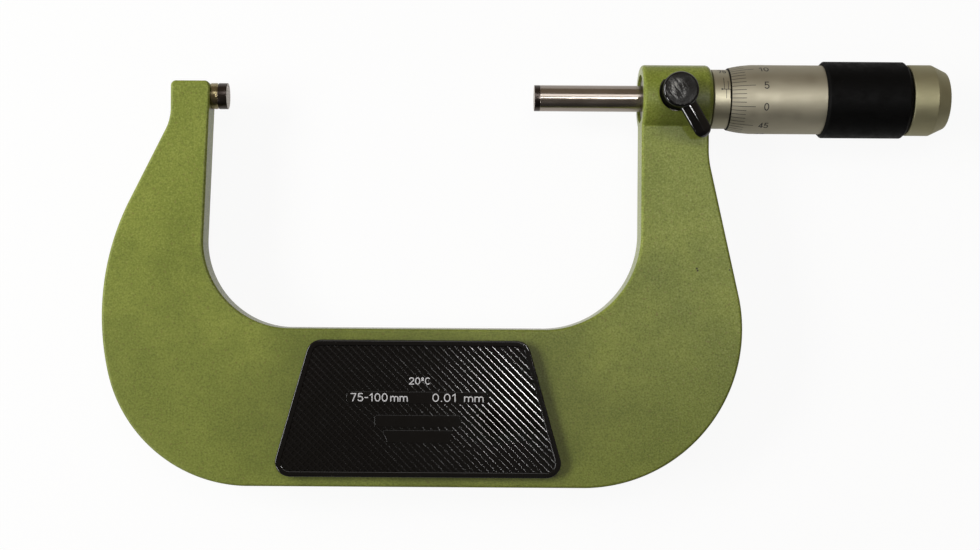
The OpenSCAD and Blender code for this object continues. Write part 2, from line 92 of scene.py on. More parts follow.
def turned_surface(node, outside):
    """Outer or inner outline of a turned CAD node, as (x, radius) pairs from left to right."""
    mesh = frame["nodes"][node].data
    found = {}
    for face in mesh.polygons:
        radial = Vector((0, face.center.y, face.center.z))
        if radial.length < 1e-7:
            continue
        slope = face.normal.dot(radial.normalized())
        if abs(slope) < 0.2 or (slope > 0) != outside:
            continue
        ends = set()
        for i in face.vertices:
            place = mesh.vertices[i].co / MM
            ends.add((round(place.x, 2), round(math.hypot(place.y, place.z), 2)))
        if len({x for x, r in ends}) == 2 and len(ends) == 2:
            pair = tuple(sorted(ends))
            found[pair] = found.get(pair, 0) + 1
    outline = []
    for pair in sorted(p for p, count in found.items() if count >= LEAST_FACETS):
        for point in pair:
            if not outline or outline[-1] != point:
                outline.append(point)
    return outline


def radius_at(outline, x):
    """Radius of a turned outline at x."""
    for (x0, r0), (x1, r1) in zip(outline, outline[1:]):
        if x0 <= x <= x1 and x1 > x0:
            return r0 + (r1 - r0) * (x - x0) / (x1 - x0)
    return outline[-1][1]


# ---- Making meshes -------------------------------------------------------------------------

def new_object(name, data):
    """A new object in the scene, of a mesh, a light or a camera."""
    made = bpy.data.objects.new(name, data)
    scene.collection.objects.link(made)
    return made


def new_piece(name, points, faces):
    """A new piece from points and faces."""
    mesh = bpy.data.meshes.new(name)
    mesh.from_pydata([Vector(p) * MM for p in points], [], faces)
    mesh.validate()
    return new_object(name, mesh)


def face_outwards(piece):
    """Turns every face of a closed piece to point outwards."""
    work = bmesh.new()
    work.from_mesh(piece.data)
    bmesh.ops.remove_doubles(work, verts=work.verts, dist=1e-8)
    bmesh.ops.recalc_face_normals(work, faces=work.faces)
    work.to_mesh(piece.data)
    work.free()


def settle(piece):
    """Applies the piece's modifiers to its mesh."""
    graph = bpy.context.evaluated_depsgraph_get()
    shaped = piece.evaluated_get(graph)
    mesh = bpy.data.meshes.new_from_object(shaped, preserve_all_data_layers=True, depsgraph=graph)
    piece.modifiers.clear()
    piece.data = mesh


def soften(piece, sharp_angle):
    """Smooth shading, with the edges that turn more than an angle in degrees kept sharp."""
    piece.data.shade_smooth()
    piece.data.set_sharp_from_angle(angle=math.radians(sharp_angle))


def weigh(piece):
    """Leans the shading towards the larger faces, so that flats stay flat."""
    weighted = piece.modifiers.new("weighted", "WEIGHTED_NORMAL")
    weighted.keep_sharp = True
    weighted.weight = 80
    settle(piece)


def smooth(piece, sharp_angle=24):
    """The shading of a finished piece: rounded where it bends gently, flat where it is flat."""
    soften(piece, sharp_angle)
    weigh(piece)


def combine(piece, other, operation):
    """Adds, cuts or keeps the common volume of another piece, which is used up."""
    change = piece.modifiers.new(operation, "BOOLEAN")
    change.operation = operation
    change.solver = "EXACT"
    change.object = other
    settle(piece)
    bpy.data.objects.remove(other)


def join(name, parts):
    """One piece from several, which are used up."""
    work = bmesh.new()
    for part in parts:
        work.from_mesh(part.data)
        bpy.data.objects.remove(part)
    mesh = bpy.data.meshes.new(name)
    work.to_mesh(mesh)
    work.free()
    return new_object(name, mesh)


def moved_copy(piece, name, change):
    """A second piece like the first, moved by a matrix."""
    copy = new_object(name, piece.data.copy())
    copy.data.transform(change)
    return copy


def quarter_turn(steps):
    """Angles from 0 to 90 degrees."""
    return [math.pi / 2 * k / steps for k in range(steps + 1)]


def circle(x, y, r, steps=96):
    """Points round a circle."""
    angles = [2 * math.pi * k / steps for k in range(steps)]
    return [(x + r * math.cos(a), y + r * math.sin(a)) for a in angles]


def loft_faces(rings, n, capped=True):
    """Faces of a body through rings of n points each; capped closes its first and its last ring."""
    faces = []
    for i in range(rings - 1):
        here, after = i * n, (i + 1) * n
        faces += [(here + k, here + (k + 1) % n, after + (k + 1) % n, after + k) for k in range(n)]
    if capped:
        faces += [tuple(range(n)), tuple((rings - 1) * n + k for k in reversed(range(n)))]
    return faces


def lofted(name, rings):
    """A closed body through rings of as many points each."""
    piece = new_piece(name, [p for ring in rings for p in ring], loft_faces(len(rings), len(rings[0])))
    face_outwards(piece)
    return piece


def prism(name, outline, low, high):
    """An upright prism over an outline of (x, y)."""
    return lofted(name, [[(x, y, z) for x, y in outline] for z in (low, high)])


def swept_plate(name, loop, normals, section):
    """A flat body with a closed loop as its outline. section gives (inset, height) upwards."""
    rings = []
    for inset, z in section:
        rings.append([(p.x + n.x * inset, p.y + n.y * inset, z) for p, n in zip(loop, normals)])
    return lofted(name, rings)


def rounded_corners(outline, radius):
    """The closed outline with each turn of more than 20 degrees rounded."""
    result = []
    steps = 4
    for i, point in enumerate(outline):
        here = Vector(point)
        back = Vector(outline[i - 1]) - here
        ahead = Vector(outline[(i + 1) % len(outline)]) - here
        turn = math.pi - back.angle(ahead)
        if turn < math.radians(20) or here.y < 0.01:
            result.append(tuple(here))
            continue
        reach = min(radius * math.tan(turn / 2), back.length * 0.42, ahead.length * 0.42)
        start, end = here + back.normalized() * reach, here + ahead.normalized() * reach
        for k in range(steps + 1):
            t = k / steps
            result.append(tuple(start * (1 - t) ** 2 + here * 2 * t * (1 - t) + end * t ** 2))
    return result


def around_axis(x, r, angle):
    """The place at a radius and an angle round the spindle axis, counted from straight up."""
    return (x, r * math.sin(angle), r * math.cos(angle))


def revolved(name, outline, around=AROUND):
    """A solid of revolution about the spindle axis from a closed outline of (x, radius)."""
    points, rows = [], []
    for x, r in outline:
        if r < 0.001:
            rows.append([len(points)] * around)
            points.append((x, 0, 0))
            continue
        rows.append(list(range(len(points), len(points) + around)))
        points += [around_axis(x, r, 2 * math.pi * k / around) for k in range(around)]
    faces = []
    for row, after in zip(rows, rows[1:] + rows[:1]):
        for k in range(around):
            n = (k + 1) % around
            corners = list(dict.fromkeys((row[k], row[n], after[n], after[k])))
            if len(corners) > 2:
                faces.append(corners)
    piece = new_piece(name, points, faces)
    face_outwards(piece)
    return piece


def outline_of_face(node, z):
    """Outer boundary of a CAD node's flat face at height z."""
    work = bmesh.new()
    work.from_mesh(frame["nodes"][node].data)
    bmesh.ops.remove_doubles(work, verts=work.verts, dist=1e-6)
    # a list, because the order of a set would change from run to run
    flat = [f for f in work.faces if all(abs(v.co.z / MM - z) < 0.01 for v in f.verts)]
    follow = {}
    for f in flat:
        for corner in f.loops:
            if not any(other in flat for other in corner.edge.link_faces if other is not f):
                follow[corner.vert.index] = corner.link_loop_next.vert.index
    places = {v.index: Vector((v.co.x / MM, v.co.y / MM)) for v in work.verts}
    work.free()
    loops = []
    while follow:
        start = next(iter(follow))
        loop = []
        while start in follow:
            loop.append(places[start])
            start = follow.pop(start)
        loops.append(loop)
    return max(loops, key=lambda l: max(p.x for p in l) - min(p.x for p in l))


def fine_loop(loop, step):
    """Follows a faceted loop with a smooth curve, keeping its straights and its sharp corners.

    Gives the points of the curve and the normals that point into the loop."""
    count = len(loop)
    into, out = [], []
    for i, p in enumerate(loop):
        back, ahead = p - loop[i - 1], loop[(i + 1) % count] - p
        if back.angle(ahead) > math.radians(35):
            into.append(back.normalized())
            out.append(ahead.normalized())
            continue
        short, long = sorted((back.length, ahead.length))
        if long > short * 1.6:
            tangent = (back if back.length > ahead.length else ahead).normalized()
        else:
            tangent = (back.normalized() + ahead.normalized()).normalized()
        into.append(tangent)
        out.append(tangent)
    points, tangents = [], []
    for i, p in enumerate(loop):
        q = loop[(i + 1) % count]
        chord = (q - p).length
        pieces = max(1, round(chord / step)) if chord < 8 else 2
        a, b = out[i] * chord, into[(i + 1) % count] * chord
        for k in range(pieces):
            t = k / pieces
            points.append(p * (2 * t ** 3 - 3 * t ** 2 + 1) + a * (t ** 3 - 2 * t ** 2 + t)
                          + q * (3 * t ** 2 - 2 * t ** 3) + b * (t ** 3 - t ** 2))
            slope = (p * (6 * t * t - 6 * t) + a * (3 * t * t - 4 * t + 1)
                     + q * (6 * t - 6 * t * t) + b * (3 * t * t - 2 * t))
            tangents.append((slope if k else out[i] + into[i]).normalized())
    area = sum(p.x * q.y - q.x * p.y for p, q in zip(points, points[1:] + points[:1]))
    side = 1 if area > 0 else -1
    return points, [Vector((-t.y, t.x)) * side for t in tangents]


# ---- Materials -----------------------------------------------------------------------------

def srgb(text):
    """A hex colour as linear RGBA."""
    parts = [int(text[i:i + 2], 16) / 255 for i in (0, 2, 4)]
    return tuple(c / 12.92 if c <= 0.04045 else ((c + 0.055) / 1.055) ** 2.4 for c in parts) + (1.0,)


def add(tree, kind, inputs=None, **settings):
    """Adds a node; a kind without the word Node is a shader node.

    inputs gives, for each socket by name or number, a value, a hex colour, or what to link from: an
    output, or a node, whose first output in use is meant."""
    node = tree.nodes.new(kind if "Node" in kind else "ShaderNode" + kind)
    for key, value in settings.items():
        setattr(node, key, value)
    for key, value in (inputs or {}).items():
        if isinstance(value, bpy.types.Node):
            value = next(output for output in value.outputs if output.enabled)
        if isinstance(value, bpy.types.NodeSocket):
            tree.links.new(value, node.inputs[key])
        else:
            node.inputs[key].default_value = srgb(value) if isinstance(value, str) else value
    return node


def per_mm(size):
    """Noise scale for features of a size."""
    return 1 / (size * MM)


def new_material(name):
    """An empty material, its tree, and the place on the piece that its patterns follow."""
    material = bpy.data.materials.new(name)
    material.use_nodes = True
    tree = material.node_tree
    tree.nodes.clear()
    return material, tree, add(tree, "TexCoord").outputs["Object"]


def close_material(material, shader):
    """Gives the material its shader."""
    add(material.node_tree, "OutputMaterial", {"Surface": shader})
    return material


def distance_from(tree, place, centre, reach=None):
    """Distance from a point in metres or, with a reach for X and Y, in shares of that reach."""
    offset = add(tree, "VectorMath", {0: place, 1: Vector(centre) * MM}, operation="SUBTRACT")
    if reach:
        scale = (1 / reach[0] / MM, 1 / reach[1] / MM, 0)
        offset = add(tree, "VectorMath", {0: offset, 1: scale}, operation="MULTIPLY")
    return add(tree, "VectorMath", {0: offset}, operation="LENGTH")


def stoved_enamel(shaded_places, chips):
    """Stoved enamel on a forged steel frame: a finely granular satin skin, cloudy with age.

    shaded_places are (x, y, reach_x, reach_y, strength) where painted shade darkens the enamel, and chips
    are (x, y, z, radius)."""
    material, tree, place = new_material("stoved_enamel")
    cloud = add(tree, "TexNoise", {"Vector": place, "Scale": per_mm(17), "Detail": 5.0, "Roughness": 0.62})
    grain = add(tree, "TexNoise", {"Vector": place, "Scale": per_mm(0.46), "Detail": 3.0, "Roughness": 0.6})
    spots = add(tree, "TexNoise", {
        "Vector": place, "Scale": per_mm(0.75), "Detail": 2.0, "Distortion": 0.6})
    drift = add(tree, "MapRange", {"Value": cloud, "From Min": 0.34, "From Max": 0.66})
    colour = add(tree, "Mix", {"Factor": drift, "A": "7b8831", "B": "8b963e"}, data_type="RGBA")
    # each coat: where its pattern starts and is full, its share there, and its colour
    for pattern, start, full, share_at_start, share_at_full, tone in (
            (grain, 0.3, 0.5, 0.6, 0.0, "525c1f"),        # hollows of the grain
            (grain, 0.52, 0.74, 0.0, 0.55, "a6b05c"),     # its crests
            (spots, 0.62, 0.7, 0.0, 0.5, "7c6f3a")):      # specks of rust
        share = add(tree, "MapRange", {"Value": pattern, "From Min": start, "From Max": full,
                                       "To Min": share_at_start, "To Max": share_at_full})
        colour = add(tree, "Mix", {"Factor": share, "A": colour, "B": tone}, data_type="RGBA")
    shade_edge_noise = add(tree, "Math", {0: cloud, 1: 1.3}, operation="MULTIPLY")
    # painted shade: the enamel darkens towards the bottom of the bow, round the front plate and under the
    # lever's arm
    for x, y, reach_x, reach_y, strength in shaded_places:
        away = distance_from(tree, place, (x, y, 0), (reach_x, reach_y))
        ragged = add(tree, "Math", {0: away, 1: shade_edge_noise})
        painted_shade = add(tree, "MapRange", {
            "Value": ragged, "From Min": 1.5, "From Max": 2.1, "To Min": strength, "To Max": 0.0})
        colour = add(tree, "Mix", {"Factor": painted_shade, "A": colour, "B": "4c5226"}, data_type="RGBA")
    for x, y, z, radius in chips:
        bare = add(tree, "MapRange", {
            "Value": distance_from(tree, place, (x, y, z)), "From Min": radius * 0.6 * MM,
            "From Max": radius * MM, "To Min": 0.9, "To Max": 0.0})
        colour = add(tree, "Mix", {"Factor": bare, "A": colour, "B": "33301f"}, data_type="RGBA")
    rough = add(tree, "MapRange", {
        "Value": grain, "From Min": 0.3, "From Max": 0.7, "To Min": 0.56, "To Max": 0.42})
    relief = add(tree, "Math", {0: grain, 1: spots}, operation="ADD")
    bump = add(tree, "Bump", {"Height": relief, "Strength": 0.5, "Distance": 0.05 * MM})
    slant = add(tree, "LayerWeight", {"Blend": 0.5}).outputs["Facing"]
    edge_gloss = add(tree, "MapRange", {"Value": slant, "From Min": 0.6, "From Max": 0.95})
    return close_material(material, add(tree, "BsdfPrincipled", {
        "Base Color": colour, "Roughness": rough, "Normal": bump, "Specular IOR Level": 0.25,
        "Coat Weight": edge_gloss, "Coat Roughness": 0.25}))


def ground_metal(name, low, high, roughness, along=0.9, across=0.05, shade_until=None, lapped=None, lay=0.0):
    """Metal finished on centres: fine marks run round it and handling leaves a cloudy film.

    shade_until is the x up to which it is painted black as shade, lapped the two colours of its speckled
    end faces, and lay how far the grinding marks stretch a highlight along the piece."""
    material, tree, place = new_material(name)
    marks = add(tree, "Mapping", {"Vector": place, "Scale": (per_mm(across), per_mm(along), per_mm(along))})
    lines = add(tree, "TexNoise", {"Vector": marks, "Scale": 1.0, "Detail": 3.0})
    film = add(tree, "TexNoise", {"Vector": place, "Scale": per_mm(5), "Detail": 4.0, "Roughness": 0.6})
    colour = add(tree, "Mix", {"Factor": film, "A": low, "B": high}, data_type="RGBA")
    dullness = add(tree, "MapRange", {"Value": film, "From Min": 0.3, "From Max": 0.7,
                                      "To Min": roughness * 0.88, "To Max": roughness * 1.14})
    if shade_until is not None:
        # painted shade: black on the chamfer at the thimble's mouth, where the gap to the sleeve lies in
        # shade
        mouth_shade = add(tree, "MapRange", {
            "Value": add(tree, "SeparateXYZ", {0: place}).outputs["X"],
            "From Min": (shade_until - 0.05) * MM, "From Max": (shade_until + 0.05) * MM,
            "To Min": 1.0, "To Max": 0.0})
        colour = add(tree, "Mix", {"Factor": mouth_shade, "A": colour, "B": "14110d"}, data_type="RGBA")
        dullness = add(tree, "Mix", {"Factor": mouth_shade, "A": dullness, "B": 0.6})
    if lapped:
        normal = add(tree, "TexCoord").outputs["Normal"]
        facing = add(tree, "SeparateXYZ", {0: normal}).outputs["X"]
        upright = add(tree, "Math", {0: facing}, operation="ABSOLUTE")
        end = add(tree, "Math", {0: upright, 1: 0.9}, operation="GREATER_THAN")
        speckle = add(tree, "TexNoise", {"Vector": place, "Scale": per_mm(0.45), "Detail": 3.0})
        mottle = add(tree, "MapRange", {"Value": speckle, "From Min": 0.4, "From Max": 0.6})
        polish = add(tree, "Mix", {"Factor": mottle, "A": lapped[0], "B": lapped[1]}, data_type="RGBA")
        colour = add(tree, "Mix", {"Factor": end, "A": colour, "B": polish}, data_type="RGBA")
        dullness = add(tree, "Mix", {"Factor": end, "A": dullness, "B": 0.6})
    bump = add(tree, "Bump", {"Height": lines, "Strength": 0.5, "Distance": 0.004 * MM})
    return close_material(material, add(tree, "BsdfPrincipled", {
        "Base Color": colour, "Roughness": dullness, "Normal": bump, "Metallic": 1.0,
        "Anisotropic": lay, "Anisotropic Rotation": 0.25,
        "Tangent": add(tree, "Tangent", direction_type="RADIAL", axis="X")}))


def black_moulding(name, low, high, roughness, dust, gloss=0.5, dusty_disc=None, ripple=0.2):
    """Black moulding with faint flow marks and specks of lint.

    dusty_disc is a disc (x, y, z, radius) on it that is wiped dull with dust."""
    material, tree, place = new_material(name)
    cloud = add(tree, "TexNoise", {"Vector": place, "Scale": per_mm(2.6), "Detail": 5.0, "Roughness": 0.65})
    speck = add(tree, "TexNoise", {"Vector": place, "Scale": per_mm(0.35), "Detail": 2.0})
    lint = add(tree, "MapRange", {"Value": speck, "From Min": 0.7, "From Max": 0.78, "To Max": dust})
    blend = add(tree, "Mix", {"Factor": cloud, "A": low, "B": high}, data_type="RGBA")
    colour = add(tree, "Mix", {"Factor": lint, "A": blend, "B": "a09a90"}, data_type="RGBA")
    dullness = add(tree, "MapRange", {"Value": cloud, "From Min": 0.35, "From Max": 0.7,
                                      "To Min": roughness * 0.85, "To Max": roughness * 1.25})
    if dusty_disc:
        x, y, z, radius = dusty_disc
        face = add(tree, "MapRange", {
            "Value": distance_from(tree, place, (x, y, z)), "From Min": radius * 0.3 * MM,
            "From Max": radius * MM, "To Min": 1.0, "To Max": 0.0})
        wiped = add(tree, "Mapping", {
            "Vector": place, "Rotation": (0, 0, math.radians(-55)), "Scale": (2.6 * MM, 0.8 * MM, 3 * MM)},
            vector_type="TEXTURE")
        wipes = add(tree, "TexNoise", {"Vector": wiped, "Scale": 1.0, "Detail": 6.0, "Roughness": 0.75})
        patch = add(tree, "MapRange", {"Value": wipes, "From Min": 0.47, "From Max": 0.8})
        film = add(tree, "Math", {0: face, 1: patch}, operation="MULTIPLY")
        colour = add(tree, "Mix", {"Factor": film, "A": colour, "B": "7d7764"}, data_type="RGBA")
        dullness = add(tree, "Mix", {"Factor": film, "A": dullness, "B": 0.8})
    bump = add(tree, "Bump", {"Height": cloud, "Strength": ripple, "Distance": 0.02 * MM})
    return close_material(material, add(tree, "BsdfPrincipled", {
        "Base Color": colour, "Roughness": dullness, "Normal": bump, "Specular IOR Level": gloss}))


def filled_paint(name, low, high):
    """Paint wiped into engraved or raised marks: matt, a little uneven."""
    material, tree, place = new_material(name)
    patch = add(tree, "TexNoise", {"Vector": place, "Scale": per_mm(0.5), "Detail": 3.0})
    colour = add(tree, "Mix", {"Factor": patch, "A": low, "B": high}, data_type="RGBA")
    bump = add(tree, "Bump", {"Height": patch, "Strength": 0.3, "Distance": 0.01 * MM})
    return close_material(material, add(tree, "BsdfPrincipled", {
        "Base Color": colour, "Roughness": 0.55, "Normal": bump}))


plate_low, plate_high = box_mm("front_insulating_plate")
plate_x, plate_y = (plate_low.x + plate_high.x) / 2, (plate_low.y + plate_high.y) / 2
seat_low, seat_high = box_mm("lever_washer")
lock_x, lock_y = (seat_low.x + seat_high.x) / 2, (seat_low.y + seat_high.y) / 2
lever_low, lever_high = box_mm("lock_lever")
lip_x = box_mm("thimble")[0].x
LIP_EDGE = 0.32                  # chamfer at the mouth of the thimble, painted black as the shade in the gap there

# painted shade: darker towards the bottom of the bow, round the front plate, and under the lever's arm
enamel = stoved_enamel(
    [(plate_x, plate_y - 20, 110, 50, 0.28), (plate_x + 4, plate_y, 40, 20, 0.35),
     (lock_x + 4, -6, 8, 5, 0.45)],
    [(116.8, -42.4, 4.5, 0.3), (117.0, -42.9, 4.5, 0.28), (124.9, -42.7, 4.3, 0.35)])
ground_steel = ground_metal("ground_tool_steel", "948b83", "a39a92", 0.24, lay=0.75)
lapped_carbide = ground_metal("lapped_carbide", "3d3836", "544c48", 0.24, lapped=("9c9690", "d6d1cc"))
anvil_steel = ground_metal("oiled_anvil_steel", "8a7f62", "9c916f", 0.22)
FINE_TURNING = {"along": 0.35, "across": 0.2}      # size of the marks under satin chrome
satin_chrome = ground_metal("satin_chrome_plate", "9a9581", "a8a38f", 0.5, **FINE_TURNING)
# painted shade: the cap's chrome is a darker copy of the satin chrome, for the light falling off over the
# cap
shaded_chrome = ground_metal("shaded_chrome_cap", "8b876c", "9a9678", 0.58, **FINE_TURNING)
# its mouth is painted black as the shade in the gap to the sleeve
thimble_chrome = ground_metal(
    "satin_chrome_thimble", "969180", "a49f8d", 0.56, shade_until=lip_x + LIP_EDGE, **FINE_TURNING)
turned_steel = ground_metal("turned_steel", "7f7b74", "99958d", 0.35)
spring_steel = ground_metal("blued_spring_steel", "33312f", "4a4744", 0.35)
turned_brass = ground_metal("turned_brass", "a78a45", "c4a65a", 0.3)
grip_black = black_moulding("satin_black_grip", "020202", "040404", 0.6, 0.04, gloss=0.07)
plate_black = black_moulding("phenolic_plate", "020203", "040405", 0.13, 0.08, ripple=0.05)
lever_black = black_moulding(
    "phenolic_lever", "030304", "060607", 0.1, 0.05, ripple=0.04,
    dusty_disc=(lock_x - 1, lock_y + 0.2, lever_high.z, 3.0))
lever_matt = black_moulding("matt_lever_side", "020202", "040404", 0.7, 0.0, gloss=0.03)
scale_black = filled_paint("black_scale_filling", "1c1a17", "37332d")
plate_white = filled_paint("white_plate_paint", "b4b5ba", "dcdde0")


def place_piece(piece, body, material, slot, *nodes):
    """Gives a finished piece its material and body, and hides the CAD nodes that it stands for. slot is not
    used.
    """
    piece.data.materials.clear()
    piece.data.materials.append(material)
    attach(piece, body)
    if nodes:
        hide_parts(*nodes)


# ---- Frame ---------------------------------------------------------------------------------

HALF = 4.5                       # half the thickness of the forged web
EDGE_ROUND = 0.75                # rounding of the forged edges
BOSS_IN, BOSS_OUT = 0.9, 1.4     # rounding of the inner and the outer rim of the boss
FILLET_R = 0.5                   # hollow where the web runs into the boss
BORE_R = 5.52                    # bore for the sleeve
RECESS_R, RECESS = 6.0, 0.6      # recess in the inner face of the boss, and its depth
LEVER_SEAT_R = 4.7               # seat in the boss under the lever
LOCK_HOLE_R = 2.25
PIN_R, PIN_END = 2.52, -11.8     # seat for the anvil's pin, and where it ends
COLLAR_R = 3.6                   # seat for the anvil's collar
PAST = 1                         # how far a cutter reaches past the metal
NEAR = 0.02                      # how near to a cut surface the corners of its faces lie
boss_r = box_mm("frame")[1].y
face_x = box_mm("inner_sleeve")[0].x - RECESS          # inner face of the spindle boss
boss_end = box_mm("graduated_sleeve")[0].x - 0.1


def round_section(half, radius):
    """Section of a plate between -half and half with both edges rounded."""
    section = [(radius * (1 - math.sin(a)), -half + radius * (1 - math.cos(a))) for a in quarter_turn(6)]
    return section + [(inset, -z) for inset, z in section[::-1]]


def edge_fall(radius, distance):
    """How far a rounded edge lies below its flat at a distance from its side."""
    if distance >= radius:
        return 0
    return radius - math.sqrt(radius ** 2 - (radius - distance) ** 2)


def web_fillet(sign, arm_right):
    """The fillet between the web and the round boss, on the front (1) or the back (-1)."""
    sunk, sunk_deeper, sunk_end = 1.2, 1.5, 0.6        # how far its back lies inside the metal
    rings = []
    stations = [face_x + d for d in (0.02, 0.1, 0.25, 0.45, 0.9)]
    stations += [arm_right - d for d in (0.75, 0.45, 0.25, 0.1, 0.02)]
    for x in stations:
        r = boss_r - edge_fall(BOSS_IN, x - face_x) - edge_fall(BOSS_OUT, boss_end - x)
        z = HALF - edge_fall(EDGE_ROUND, min(x - face_x, arm_right - x))
        middle_z = z + FILLET_R
        middle_y = -math.sqrt((r + FILLET_R) ** 2 - middle_z ** 2)
        end = math.atan2(-middle_z, -middle_y)
        ring = [(x, middle_y + sunk_deeper, sign * (z - sunk)), (x, middle_y, sign * (z - sunk))]
        for k in range(9):
            a = -math.pi / 2 + (end + math.pi / 2) * k / 8
            ring.append((x, middle_y + FILLET_R * math.cos(a), sign * (middle_z + FILLET_R * math.sin(a))))
        ring.append((x, ring[-1][1] + sunk, sign * (middle_z + FILLET_R * math.sin(end) - sunk_end)))
        rings.append(ring)
    return lofted("fillet", rings)


def forged_frame():
    """The forged bow with its round spindle boss, bored and seated for what it carries."""
    loop = outline_of_face("frame", HALF)
    crease_y = -math.sqrt(boss_r ** 2 - HALF ** 2)
    arm_right = max(p.x for p in loop if p.y > crease_y - 0.3)
    # the web runs on into the boss instead of stopping at its crease
    inside = [p.y > crease_y - 0.02 and p.x > face_x - 1 for p in loop]
    first = next(i for i in range(len(loop)) if inside[i] and not inside[i - 1])
    order = [(first + i) % len(loop) for i in range(len(loop))]
    kept = [Vector((arm_right, -3)), Vector((face_x, -3))] + [loop[i] for i in order if not inside[i]]
    points, normals = fine_loop(kept, 0.8)
    body = swept_plate("forged_frame", points, normals, round_section(HALF, EDGE_ROUND))
    boss = [(face_x, 0)]
    boss += [(face_x + BOSS_IN * (1 - math.cos(a)), boss_r - BOSS_IN * (1 - math.sin(a)))
             for a in quarter_turn(8)]
    boss += [(boss_end - BOSS_OUT * (1 - math.cos(a)), boss_r - BOSS_OUT * (1 - math.sin(a)))
             for a in quarter_turn(8)[::-1]]
    boss += [(boss_end, 0)]
    combine(body, revolved("boss", boss), "UNION")
    for sign in (1, -1):
        combine(body, web_fillet(sign, arm_right), "UNION")
    bore = [(face_x - PAST, 0), (face_x - PAST, RECESS_R), (face_x + RECESS, RECESS_R),
            (face_x + RECESS, BORE_R), (boss_end + PAST, BORE_R), (boss_end + PAST, 0)]
    combine(body, revolved("bore", bore), "DIFFERENCE")
    lock_seat = prism("seat", circle(lock_x, lock_y, LEVER_SEAT_R, 128), seat_low.z, boss_r + PAST)
    combine(body, lock_seat, "DIFFERENCE")
    combine(body, prism("hole", circle(lock_x, lock_y, LOCK_HOLE_R), 0, boss_r + PAST), "DIFFERENCE")
    collar_x = max(x for x, r in turned_surface("anvil", True) if r < PIN_R + 0.08)
    pocket = [(PIN_END, 0), (PIN_END, PIN_R), (collar_x, PIN_R), (collar_x, COLLAR_R), (0, COLLAR_R), (0, 0)]
    combine(body, revolved("pocket", pocket), "DIFFERENCE")
    return body


def finish_of(corners):
    """Number of the material on a face of the frame with these corners.

    0 is enamel, 1 bare metal cut for the sleeve and the anvil, 2 the seat of the lock, dark as painted shade
    round the hub."""
    left, right = min(p.x for p in corners), max(p.x for p in corners)
    from_axis = max(math.hypot(p.y, p.z) for p in corners)
    if face_x + 0.01 < left and right < boss_end - 0.01 and from_axis < RECESS_R + NEAR:
        return 1
    if PIN_END - 0.1 < left and right < 0 and from_axis < COLLAR_R + NEAR:
        return 1
    from_lock = max(math.hypot(p.x - lock_x, p.y - lock_y) for p in corners)
    return 2 if from_lock < LEVER_SEAT_R + NEAR and min(p.z for p in corners) > 0 else 0


body = forged_frame()
smooth(body, 30)
place_piece(body, "frame", enamel, "frame_enamel", "frame")
body.data.materials.append(turned_steel)
# the lock's seat takes the dark spring steel: painted shade in the recess round the lever's hub
body.data.materials.append(spring_steel)
for face in body.data.polygons:
    face.material_index = finish_of([body.data.vertices[i].co / MM for i in face.vertices])

# ---- Turned parts --------------------------------------------------------------------------

DISC_EDGE = 0.06                 # broken edges of the carbide discs
SLEEVE_EDGE = 0.12               # and of the two sleeves
LIP_FALL = 0.22                  # how much the chamfer takes off the radius at the thimble's mouth
SPANNER_HOLE_R = 0.75            # hole in the sleeve for the spanner that sets its zero
spanner_x = box_mm("graduated_sleeve")[0].x + 1.3

thimble_outline = turned_surface("thimble", True)
thimble_outline[:1] = [(lip_x, thimble_outline[0][1] - LIP_FALL),
                       (lip_x + LIP_EDGE, radius_at(thimble_outline, lip_x + LIP_EDGE))]


def turned(name, node, hollow, edge):
    """A turned part: the CAD node's own outline, with every edge broken as a lathe hand leaves it."""
    outside = thimble_outline if node == "thimble" else turned_surface(node, True)
    inside = turned_surface(node, False) if hollow else []
    if inside:
        closed = outside + inside[::-1]
    else:
        closed = [(outside[0][0], 0)] + outside + [(outside[-1][0], 0)]
    return revolved(name, rounded_corners(closed, edge))


# name, CAD node, body, material, slot, whether it is hollow, radius of its broken edges
for name, node, carrier, finish, slot, hollow, edge in (
        ("anvil_head", "anvil", "frame", anvil_steel, "hardened_steel", False, EDGE_BREAK),
        ("anvil_disc", "anvil_tip", "frame", lapped_carbide, "carbide", False, DISC_EDGE),
        ("spindle_disc", "spindle_tip", "spindle_carriage", lapped_carbide, "carbide", False, DISC_EDGE),
        ("measuring_spindle", "spindle", "thimble", ground_steel, "hardened_steel", False, EDGE_BREAK),
        ("guide_sleeve", "inner_sleeve", "frame", turned_steel, "plain_steel", True, SLEEVE_EDGE),
        ("scale_sleeve", "graduated_sleeve", "frame", satin_chrome, "satin_chrome", True, SLEEVE_EDGE),
        ("thimble_shell", "thimble", "thimble", thimble_chrome, "satin_chrome", True, 0.05),
        ("friction_grip", "friction_sleeve", "friction_sleeve", grip_black, "grip_plastic", True, 0.2),
        ("friction_cap", "end_cap", "thimble", shaded_chrome, "satin_chrome", True, 0.35)):
    part = turned(name, node, hollow, edge)
    if name == "scale_sleeve":
        combine(part, prism("spanner_hole", circle(spanner_x, 0, SPANNER_HOLE_R, 48), -8, -5), "DIFFERENCE")
    smooth(part)
    place_piece(part, carrier, finish, slot, node)

WASHER_R, WASHER_HOLE_R = (seat_high.x - seat_low.x) / 2, 2.3
upright = Matrix.Translation((lock_x * MM, lock_y * MM, 0)) @ Matrix.Rotation(-math.pi / 2, 4, "Y")
washer = revolved("lock_seat_washer", rounded_corners(
    [(seat_low.z, WASHER_HOLE_R), (seat_high.z, WASHER_HOLE_R),
     (seat_high.z, WASHER_R), (seat_low.z, WASHER_R)], 0.08))
washer.data.transform(upright)
smooth(washer)
place_piece(washer, "frame", spring_steel, "spring_steel", "lever_washer")

# ---- Repeated shapes -----------------------------------------------------------------------

